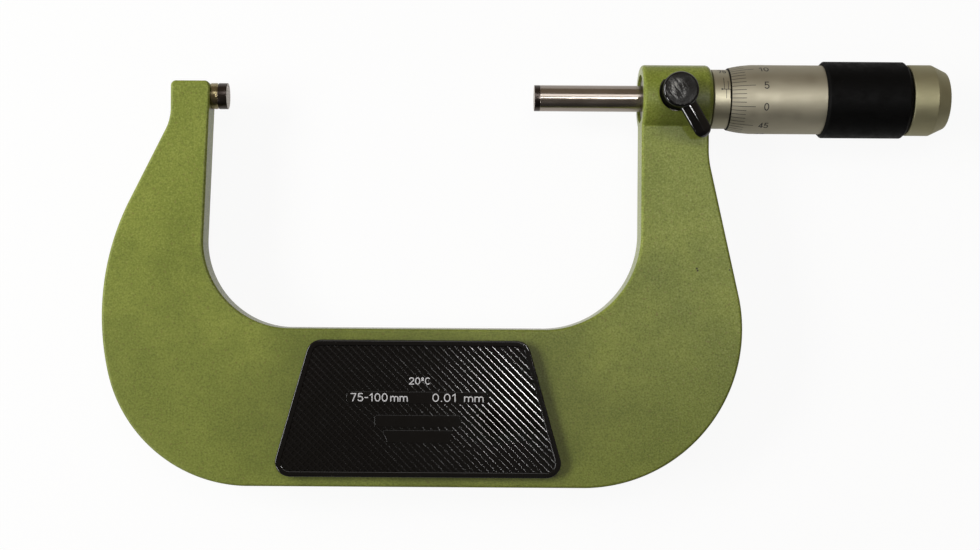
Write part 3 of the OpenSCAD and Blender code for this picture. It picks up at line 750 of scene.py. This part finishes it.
def repeating_tree():
    """Geometry nodes that copy a shape, each copy moved by Step and turned about X by Turn.

    Miss Fifths leaves out every fifth copy, the first one included."""
    tree = bpy.data.node_groups.new("repeated_shape", "GeometryNodeTree")
    sockets = {}
    for label, kind in (
            ("Shape", "Geometry"), ("Count", "Int"), ("Step", "Vector"), ("Turn", "Float"),
            ("Miss Fifths", "Bool"), ("Finish", "Material")):
        socket = tree.interface.new_socket(label, in_out="INPUT", socket_type="NodeSocket" + kind)
        sockets[label] = socket.identifier
    tree.interface.new_socket("Shape", in_out="OUTPUT", socket_type="NodeSocketGeometry")
    given = add(tree, "NodeGroupInput").outputs
    line = add(tree, "GeometryNodeMeshLine", {"Count": given["Count"], "Offset": given["Step"]},
               mode="OFFSET")
    index = add(tree, "GeometryNodeInputIndex")
    place_in_five = add(tree, "Math", {0: index, 1: 5.0}, operation="MODULO")
    is_fifth = add(tree, "FunctionNodeCompare", {"A": place_in_five, "B": 0.5},
                   operation="LESS_THAN", data_type="FLOAT")
    wanted = add(tree, "FunctionNodeBooleanMath", {0: is_fifth, 1: given["Miss Fifths"]}, operation="NAND")
    angle = add(tree, "Math", {0: index, 1: given["Turn"]}, operation="MULTIPLY")
    copies = add(tree, "GeometryNodeInstanceOnPoints", {
        "Points": line, "Selection": wanted, "Instance": given["Shape"],
        "Rotation": add(tree, "CombineXYZ", {"X": angle})})
    real = add(tree, "GeometryNodeRealizeInstances", {"Geometry": copies})
    finish = add(tree, "GeometryNodeSetMaterial", {"Geometry": real, "Material": given["Finish"]})
    add(tree, "NodeGroupOutput", {0: finish})
    return tree, sockets


repeated_shape, repeated_inputs = repeating_tree()


def repeat(piece, count, finish, step=(0, 0, 0), turn=0.0, miss_fifths=False):
    """Repeats a piece count times with the tree above."""
    change = piece.modifiers.new("repeat", "NODES")
    change.node_group = repeated_shape
    for label, value in (("Count", count), ("Step", Vector(step) * MM), ("Turn", turn),
                         ("Miss Fifths", miss_fifths), ("Finish", finish)):
        change[repeated_inputs[label]] = value
    settle(piece)
    return piece


# ---- Lettering -----------------------------------------------------------------------------

SIGN_GAP = 0.25                  # gap between two signs, in shares of their height


def bow(x, y, rx, ry, start, end, steps=14):
    """Points on an elliptical bow between two angles in degrees."""
    angles = [math.radians(start + (end - start) * k / steps) for k in range(steps + 1)]
    return [(x + rx * math.cos(a), y + ry * math.sin(a)) for a in angles]


# Each sign is a list of pen strokes in a cell one unit high; its first number is its width.
SIGNS = {
    "0": (0.56, bow(0.28, 0.5, 0.28, 0.5, 90, 450, 22)),
    "1": (0.34, [(0.02, 0.78), (0.26, 1.0), (0.26, 0.0)]),
    "2": (0.54, bow(0.27, 0.73, 0.27, 0.27, 170, -35) + [(0.0, 0.0), (0.54, 0.0)]),
    "3": (0.54, bow(0.26, 0.75, 0.25, 0.25, 150, -80), bow(0.26, 0.26, 0.28, 0.26, 85, -150)),
    "4": (0.58, [(0.42, 0.0), (0.42, 1.0), (0.0, 0.28), (0.58, 0.28)]),
    "5": (0.54, [(0.5, 1.0), (0.09, 1.0), (0.05, 0.53)] + bow(0.26, 0.31, 0.28, 0.31, 128, -150)),
    "7": (0.52, [(0.0, 1.0), (0.52, 1.0), (0.18, 0.0)]),
    "8": (0.56, bow(0.28, 0.76, 0.23, 0.24, 90, 450, 18), bow(0.28, 0.27, 0.28, 0.27, 90, 450, 18)),
    "9": (0.56, bow(0.28, 0.7, 0.28, 0.3, 0, 360, 18), bow(0.2, 0.66, 0.36, 0.66, 4, -72)),
    "m": (0.86, [(0.0, 0.0), (0.0, 0.64)], bow(0.215, 0.43, 0.215, 0.21, 180, 0) + [(0.43, 0.0)],
          bow(0.645, 0.43, 0.215, 0.21, 180, 0) + [(0.86, 0.0)]),
    "C": (0.58, bow(0.32, 0.5, 0.31, 0.5, 48, 312, 20)),
    "\u00b0": (0.24, bow(0.12, 0.86, 0.12, 0.13, 90, 450, 12), [(0.02, 0.58), (0.22, 0.58)]),
    ".": (0.1, [(0.04, 0.02), (0.06, 0.02)]),
    "-": (0.3, [(0.0, 0.46), (0.3, 0.46)]),
}


def pen_stroke(line, weight, low, high):
    """A flat bar of even width that follows a line of points, with round ends; points and faces."""
    places = [Vector(line[0])]
    for target in line[1:]:
        gap = Vector(target) - places[-1]
        parts = max(1, math.ceil(gap.length / 0.3))
        places += [places[-1] + gap * (k + 1) / parts for k in range(parts)]
    closed = (places[0] - places[-1]).length < 1e-4
    half = weight / 2
    gaps = [q - p for p, q in zip(places, places[1:])]
    before_first, after_last = (gaps[-1], gaps[0]) if closed else (gaps[0], gaps[-1])
    stations = []
    for here, back, ahead in zip(places, [before_first] + gaps, gaps + [after_last]):
        back, ahead = back.normalized(), ahead.normalized()
        along = (back + ahead).normalized()
        stations.append((here, along, half / max(0.6, along.dot(ahead))))
    if not closed:
        (first, start, _), (last, end, _) = stations[0], stations[-1]
        bends = (0.5, 0.95, 1.4)
        before = [(first - start * half * math.sin(a), start, half * math.cos(a)) for a in bends[::-1]]
        after = [(last + end * half * math.sin(a), end, half * math.cos(a)) for a in bends]
        stations = before + stations + after
    points = []
    for here, along, width in stations:
        side = Vector((-along.y, along.x)) * width
        for place, z in ((here + side, low), (here + side, high), (here - side, high), (here - side, low)):
            points.append((place.x, place.y, z))
    return points, loft_faces(len(stations), 4, not closed)


def lettering(text, width, height, weight, low, high):
    """Numbers drawn with an even pen, centred on the origin and fitted to a width and a cap height."""
    total = sum(SIGNS[sign][0] for sign in text) + SIGN_GAP * (len(text) - 1)
    reach_x, reach_y = (width - weight) / total, height - weight
    points, faces, at, lift = [], [], 0.0, 0.0
    for sign in text:
        for line in SIGNS[sign][1:]:
            placed = [((at + x) * reach_x - (width - weight) / 2, (y - 0.5) * reach_y) for x, y in line]
            new_points, new_faces = pen_stroke(placed, weight, low, high + lift)
            faces += [tuple(i + len(points) for i in face) for face in new_faces]
            points += new_points
            lift = 0.002 - lift          # strokes that cross do not lie in one plane
        at += SIGNS[sign][0] + SIGN_GAP
    piece = new_piece("lettering", points, faces)
    face_outwards(piece)
    return piece


# ---- Insulating plates ---------------------------------------------------------------------

PLATE_TOP = plate_high.z
PLATE_FOOT = HALF
FOOT_EDGE = 0.12                 # chamfer round the foot of the plate
TOP_ROUND = 0.35                 # rounding of its outer edge
RIM, RIM_ROUND = 1.5, 0.25       # breadth of the rim and rounding of its inner edge
RIM_DRAFT = 0.05                 # lean of the rim's inner wall
FIELD = PLATE_TOP - 0.6          # floor of the pits
RIB_TOP = PLATE_TOP - 0.2        # crest of the crossed ribs
RIB_PITCH = 1.31
RIB_W = 0.76
RIB_REACH = 41                   # half the length of a rib before the rim trims it
RIB_STEP = 0.015                 # how much lower the one set of ribs lies, so that no faces coincide
CREST_R, CREST_TURN = 0.86, 17   # curvature across the top of a rib, and its half angle in degrees
BAR_TOP = RIB_TOP + 0.06         # smooth bars that carry the numbers
BAR_FOOT = FIELD - 0.1
QUARTER_BULGE = 0.5523           # share of the way to a corner at which its curve's handles lie
PRINT_PEN = 0.25                 # breadth of the printed strokes
PRINT_LOW, PRINT_HIGH = -0.03, 0.02


def pad(name, x, y, width, height, slant, radius):
    """A raised bar with rounded upper edges; slant narrows its lower side."""
    w, h = width / 2, height / 2
    corners = [Vector(c) for c in (
        (x - w, y + h), (x - w + slant, y - h), (x + w - slant, y - h), (x + w, y + h))]
    loop = []
    for i, here in enumerate(corners):
        back, ahead = corners[i - 1] - here, corners[(i + 1) % 4] - here
        reach = min(radius / math.tan(back.angle(ahead) / 2), h * 0.98)
        start, end = here + back.normalized() * reach, here + ahead.normalized() * reach
        a, b = start + (here - start) * QUARTER_BULGE, end + (here - end) * QUARTER_BULGE
        for k in range(7):
            t = k / 6
            loop.append(start * (1 - t) ** 3 + a * 3 * t * (1 - t) ** 2
                        + b * 3 * t * t * (1 - t) + end * t ** 3)
    normals = []
    for i in range(len(loop)):
        along = (loop[(i + 1) % len(loop)] - loop[i - 1]).normalized()
        normals.append(Vector((-along.y, along.x)))
    section = [(0, BAR_FOOT), (0, BAR_TOP - 0.12), (0.03, BAR_TOP - 0.04), (0.1, BAR_TOP)]
    return swept_plate(name, loop, normals, section)


def ribs_one_way(sign, field):
    """Parallel ribs that rise (1) or fall (-1) to the right, trimmed to the outline of the field."""
    along, across = Vector((1, sign)).normalized(), Vector((sign, -1)).normalized() * sign
    peak = RIB_TOP - (RIB_STEP if sign > 0 else 0)
    crest = [math.radians(CREST_TURN * (k - 4) / 4) for k in range(9)]
    profile = [(CREST_R * math.sin(a), peak - CREST_R * (1 - math.cos(a))) for a in crest]
    profile = [(-RIB_W / 2, FIELD - 0.2)] + profile + [(RIB_W / 2, FIELD - 0.2)]
    count = int(2 * RIB_REACH / RIB_PITCH) + 1
    first = Vector((plate_x, plate_y)) - across * RIB_PITCH * (count - 1) / 2
    rings = []
    for end in (-RIB_REACH, RIB_REACH):
        places = [(first + along * end + across * u, z) for u, z in profile]
        rings.append([(place.x, place.y, z) for place, z in places])
    ribs = lofted("ribs", rings)
    repeat(ribs, count, plate_black, step=(across.x * RIB_PITCH, across.y * RIB_PITCH, 0))
    combine(ribs, prism("field", field, FIELD - 0.1, PLATE_TOP + PAST), "INTERSECT")
    return ribs


def insulating_plate(name):
    """The front plate: a tray with a smooth rim, crossed ribs in it and three smooth bars."""
    points, normals = fine_loop(outline_of_face("front_insulating_plate", PLATE_TOP), 0.5)
    section = [(FOOT_EDGE, PLATE_FOOT), (0, PLATE_FOOT + FOOT_EDGE)]
    section += [(TOP_ROUND * (1 - math.cos(a)), PLATE_TOP - TOP_ROUND * (1 - math.sin(a)))
                for a in quarter_turn(6)]
    section += [(RIM - RIM_ROUND - RIM_DRAFT + RIM_ROUND * math.sin(a),
                 PLATE_TOP - RIM_ROUND * (1 - math.cos(a))) for a in quarter_turn(6)[:-1]]
    section += [(RIM, FIELD)]
    plate = swept_plate("plate_tray", points, normals, section)
    field = [p + n * (RIM - RIM_ROUND) for p, n in zip(points, normals)]
    ribs, crossing_ribs = ribs_one_way(1, field), ribs_one_way(-1, field)
    combine(ribs, crossing_ribs, "UNION")
    return join(name, [
        plate, ribs,
        pad("range_bar", 48.1, -74.65, 35.4, 2.95, 0, 1.4),
        pad("upper_bare_bar", 48.0, -80.4, 21.1, 2.95, 0, 0.5),
        pad("lower_bare_bar", 48.2, -84.2, 17.5, 3.1, 1.2, 0.4)])


def plate_marks(name):
    """Numbers printed on the plate."""
    parts = []
    for text, x, y, width, height in (
            ("20\u00b0C", 48.5, -70.5, 5.2, 1.8), ("75-100", 36.1, -74.6, 9.1, 2.05),
            ("mm", 43.45, -74.6, 4.3, 2.05), ("0.01", 54.6, -74.6, 5.9, 2.05),
            ("mm", 61.85, -74.6, 4.8, 2.05)):
        part = lettering(text, width, height, PRINT_PEN, PRINT_LOW, PRINT_HIGH)
        part.data.transform(Matrix.Translation(Vector((x, y, BAR_TOP)) * MM))
        parts.append(part)
    return join(name, parts)


turn_over = Matrix.Translation((2 * plate_x * MM, 0, 0)) @ Matrix.Rotation(math.pi, 4, "Y")
front_plate = insulating_plate("front_plate")
smooth(front_plate, 35)
rear_plate = moved_copy(front_plate, "rear_plate", turn_over)
place_piece(front_plate, "frame", plate_black, "plate_plastic", "front_insulating_plate")
place_piece(rear_plate, "frame", plate_black, "plate_plastic", "rear_insulating_plate")
front_marks = plate_marks("front_plate_marks")
rear_marks = moved_copy(front_marks, "rear_plate_marks", turn_over)
place_piece(front_marks, "frame", plate_white, "plate_plastic")
place_piece(rear_marks, "frame", plate_white, "plate_plastic")

# ---- Scales --------------------------------------------------------------------------------

DATUM = math.radians(13.0)       # turn of the sleeve's datum line from straight up
DIVISIONS = 50
DIVISION = 2 * math.pi / DIVISIONS
ZERO = DATUM - 4.4 * DIVISION    # turn of the thimble's zero line
LINE_W = 0.15
FIGURE_WEIGHT = 0.27
PROUD, SUNK = 0.012, 0.05        # how far the filling stands out of the metal and reaches into it
LINE_END = 3.75                  # end of a line on the thimble, counted from its mouth
FIVE_END = 5.95                  # end of every fifth line
sleeve_outline = turned_surface("graduated_sleeve", True)
sleeve_r = max(r for x, r in sleeve_outline)
zero_x = sleeve_outline[0][0] + 2.5
MM_TURN = 2.3 / sleeve_r         # turn that a millimetre line on the sleeve covers
FIVE_TURN = MM_TURN * 1.45       # and that of every fifth millimetre


def line_corners(width):
    """The corners of a filled line's section: (to the side, outwards)."""
    return (-width / 2, -SUNK), (-width / 2, PROUD), (width / 2, PROUD), (width / 2, -SUNK)


def line_along(name, outline, x0, x1, angle, width=LINE_W, steps=14):
    """A thin filled line along a turned part, following its outline."""
    rings = []
    for k in range(steps + 1):
        x = x0 + (x1 - x0) * k / steps
        r = radius_at(outline, x)
        rings.append([around_axis(x, r + rise, angle + side / r) for side, rise in line_corners(width)])
    return lofted(name, rings)


def line_round(name, x, angle0, angle1):
    """A thin filled line round the sleeve."""
    rings = []
    steps = 12
    for k in range(steps + 1):
        angle = angle0 + (angle1 - angle0) * k / steps
        rings.append([around_axis(x + side, sleeve_r + rise, angle) for side, rise in line_corners(LINE_W)])
    return lofted(name, rings)


def wrapped(text, width, height, outline, x, angle):
    """Numbers wrapped round a turned part about x, upright where the part runs from left to right."""
    part = lettering(text, width, height, FIGURE_WEIGHT, -SUNK, PROUD)
    for v in part.data.vertices:
        along, up, rise = v.co / MM
        along += x
        r = radius_at(outline, along)
        v.co = Vector(around_axis(along, r + rise, angle + up / r)) * MM
    return part


thimble_parts = []
for name, start, end, count in (
        ("short", LIP_EDGE, LINE_END, DIVISIONS), ("long", LINE_END, FIVE_END, DIVISIONS // 5)):
    line = line_along(name, thimble_outline, lip_x + start, lip_x + end, ZERO)
    thimble_parts.append(repeat(line, count, scale_black, turn=-2 * math.pi / count))
for value in range(0, DIVISIONS, 5):
    width, end_x = (1.25, 133.65) if value < 10 else (2.4, 134.1)
    thimble_parts.append(wrapped(
        str(value), width, 1.95, thimble_outline, end_x - width / 2, ZERO + value * DIVISION))
thimble_scale = join("thimble_scale", thimble_parts)
place_piece(thimble_scale, "thimble", scale_black, "satin_chrome")

sleeve_parts = [
    line_along("datum", sleeve_outline, zero_x - 0.5, zero_x + 25.6, DATUM, steps=2),
    line_along("datum_dot", sleeve_outline, zero_x - 0.75, zero_x - 0.35, DATUM, 0.4, steps=2)]
for name, start, angle0, angle1, count, pitch, miss_fifths in (
        ("mm", 0, DATUM, DATUM + MM_TURN, 26, 1, True),
        ("five", 0, DATUM, DATUM + FIVE_TURN, 6, 5, False),
        ("half", 0.5, DATUM - MM_TURN, DATUM, 25, 1, False)):
    line = line_round(name, zero_x + start, angle0, angle1)
    sleeve_parts.append(repeat(line, count, scale_black, step=(pitch, 0, 0), miss_fifths=miss_fifths))
for value in range(75, 101, 5):
    width = 2.0 if value < 100 else 2.9
    sleeve_parts.append(wrapped(
        str(value), width, 1.9, sleeve_outline, zero_x + value - 75, DATUM + 6.2 / sleeve_r))
sleeve_scale = join("sleeve_scale", sleeve_parts)
place_piece(sleeve_scale, "frame", scale_black, "satin_chrome")

# ---- Spindle lock --------------------------------------------------------------------------

HUB_R = lock_x - lever_low.x
SHOULDER = 0.8                   # rounding of the hub's upper edge
SHOULDER_TOP = math.radians(12)  # slope of the shoulder where it meets the hub's flat top
TIP_R = 2.1
TIP_H = 0.7                      # height of the arm at its tip, in shares of its full height
ARM_W = 2.12                     # half the width of the arm
ARM_FOOT, ARM_TOP = 0.13, 3.1    # how far the arm's underside and its ridge lie above the boss
RIDGE = 0.4                      # fall of the arm's crown to its sides, in shares of its half height
RIDGE_BLUNT = 0.1                # breadth of the blunt ridge, in shares of the arm's half width
tip_from_hub = Vector((lever_high.x - TIP_R - lock_x, lever_low.y + TIP_R - lock_y))
ARM_ANGLE = math.atan2(tip_from_hub.y, tip_from_hub.x)
ARM_REACH = tip_from_hub.length


def moulded_lever():
    """The lock lever: a round hub, and an arm with a blunt ridge that ends in a round tip."""
    top, foot = lever_high.z, lever_low.z
    bend = [SHOULDER_TOP + (math.pi / 2 - SHOULDER_TOP) * k / 20 for k in range(21)]
    hub = [(foot, 0), (foot, HUB_R)]
    hub += [(top - SHOULDER * (math.cos(SHOULDER_TOP) - math.cos(a)),
             HUB_R - SHOULDER * (1 - math.sin(a))) for a in bend[::-1]]
    hub += [(top, 0)]
    head = revolved("lever_hub", hub, 128)
    head.data.transform(upright)
    soften(head, 9)
    # distance from the hub's centre, half width, share of the full height
    stations = [(0.0, ARM_W, 1.0), (3, ARM_W, 1.0), (8, ARM_W, 0.862), (9.3, ARM_W, 0.8),
                (ARM_REACH, TIP_R, TIP_H)]
    stations += [(ARM_REACH + TIP_R * math.sin(a), max(0.15, TIP_R * math.cos(a)),
                  TIP_H * max(0.12, math.cos(a) ** 0.8)) for a in quarter_turn(10)[1:]]
    half_height = (ARM_TOP - ARM_FOOT) / 2
    rings = []
    for reach, width, height in stations:
        ring = []
        for across, up in circle(0, 0, 1):
            crown = up
            if up > 0:
                crown = up ** 0.5 * (1 - RIDGE * (math.hypot(across, RIDGE_BLUNT) - RIDGE_BLUNT))
            ring.append((lock_x + reach * math.cos(ARM_ANGLE) - width * across * math.sin(ARM_ANGLE),
                         lock_y + reach * math.sin(ARM_ANGLE) + width * across * math.cos(ARM_ANGLE),
                         boss_r + ARM_FOOT + half_height * height * (1 + crown)))
        rings.append(ring)
    arm = lofted("lever_arm", rings)
    soften(arm, 50)
    lever = join("moulded_lever", [head, arm])
    weigh(lever)
    return lever


lever = moulded_lever()
place_piece(lever, "lock_lever", lever_black, "lever_moulding", "lock_lever")
lever.data.materials.append(lever_matt)
for face in lever.data.polygons:
    middle = face.center / MM
    on_side = abs(math.hypot(middle.x - lock_x, middle.y - lock_y) - HUB_R) < 0.3
    face.material_index = int(on_side and middle.z < lever_high.z - 0.75 and abs(face.normal.z) < 0.6)

# ---- Pieces inside -------------------------------------------------------------------------

for node, finish in (
        ("adjusting_nut", turned_steel), ("clamp_hub", turned_steel), ("friction_ring", turned_steel),
        ("lock_screw", turned_steel), ("friction_spring", spring_steel), ("thrust_washer", turned_brass),
        ("lock_pad", turned_brass)):
    for material_slot in frame["nodes"][node].material_slots:
        material_slot.material = finish

# ---- Stage ---------------------------------------------------------------------------------

FLOOR_GLOW = 0.93                # share of plain white that the floor shows to the eye
FLOOR_MIRRORED = 0.5             # and that it shows in reflections
WHITE = (1, 1, 1, 1)


def studio_floor():
    """A white floor that still takes shadows."""
    material, tree, _ = new_material("studio_floor")
    seen = add(tree, "LightPath").outputs
    either = add(tree, "Math", {0: seen["Is Camera Ray"], 1: seen["Is Transmission Ray"]},
                 operation="MAXIMUM")
    direct = add(tree, "Math", {0: either, 1: FLOOR_GLOW}, operation="MULTIPLY")
    mirrored = add(tree, "Math", {0: seen["Is Glossy Ray"], 1: FLOOR_MIRRORED}, operation="MULTIPLY")
    share = add(tree, "Math", {0: direct, 1: mirrored}, operation="MAXIMUM")
    dimmed = add(tree, "Mix", {"Factor": seen["Is Glossy Ray"], "A": "c0beb9", "B": "dedcd8"},
                 data_type="RGBA")
    bounce = add(tree, "Mix", {"Factor": either, "A": dimmed, "B": "f6f6f4"}, data_type="RGBA")
    paper = add(tree, "BsdfDiffuse", {"Color": bounce})
    white = add(tree, "Emission", {"Color": WHITE, "Strength": 1.0})
    return close_material(material, add(tree, "MixShader", {0: share, 1: paper, 2: white}))


floor_z = cad_low.z / MM - 0.05
floor = new_piece("studio_floor", [(-1500, -1500, floor_z), (1600, -1500, floor_z),
                                   (1600, 1500, floor_z), (-1500, 1500, floor_z)], [(0, 1, 2, 3)])
floor.data.materials.append(studio_floor())

# the room is white to the eye, and dim where it is mirrored or gives light
world = bpy.data.worlds.new("studio")
world.use_nodes = True
scene.world = world
sky = world.node_tree
sky.nodes.clear()
ray = add(sky, "LightPath").outputs
way = add(sky, "SeparateXYZ", {0: add(sky, "TexCoord").outputs["Generated"]}).outputs["Y"]
wall = add(sky, "MapRange", {"Value": way, "From Min": -0.9, "From Max": 0.8})
room = add(sky, "Mix", {"Factor": wall, "A": "454443", "B": "95897a"}, data_type="RGBA")
through = add(sky, "Math", {0: ray["Is Camera Ray"], 1: ray["Is Transmission Ray"]}, operation="MAXIMUM")
pick = add(sky, "MixShader", {
    0: through,
    1: add(sky, "Background", {"Color": room, "Strength": 1.0}),
    2: add(sky, "Background", {"Color": WHITE, "Strength": 1.0})})
add(sky, "OutputWorld", {"Surface": pick})

# name, place, width and height, power, whether it also lights what is not shiny
for name, place, size, power, lights_matt in (
        ("overhead_box", (100, 245, 620), (400, 225), 0.8, True),
        ("window_left", (-705, 66, 480), (620, 260), 7.8, True),
        ("pane_left", (-310, -306, 300), (120, 120), 0.9, False),
        ("lamp_right", (195, -5, 400), (38, 38), 0.6, False)):
    light = bpy.data.lights.new(name, "AREA")
    light.shape = "RECTANGLE"
    light.size, light.size_y = size[0] * MM, size[1] * MM
    light.energy = power
    lamp = new_object(name, light)
    lamp.location = Vector(place) * MM
    lamp.rotation_mode = "QUATERNION"
    lamp.rotation_quaternion = (Vector((50, -30, 0)) * MM - lamp.location).to_track_quat("-Z", "Y")
    lamp.visible_diffuse = lights_matt

camera_data = bpy.data.cameras.new("camera")
camera = new_object("camera", camera_data)
camera.location = Vector((56.95, -44.07, 354.8)) * MM
camera.rotation_euler = (0, 0, math.radians(0.373))
camera_data.sensor_width = 36
camera_data.lens = 52.0530612
camera_data.shift_x = 0.0360204082
camera_data.shift_y = -0.00132653061
camera_data.clip_start, camera_data.clip_end = 0.01, 10
scene.camera = camera
scene.view_settings.view_transform = "Standard"
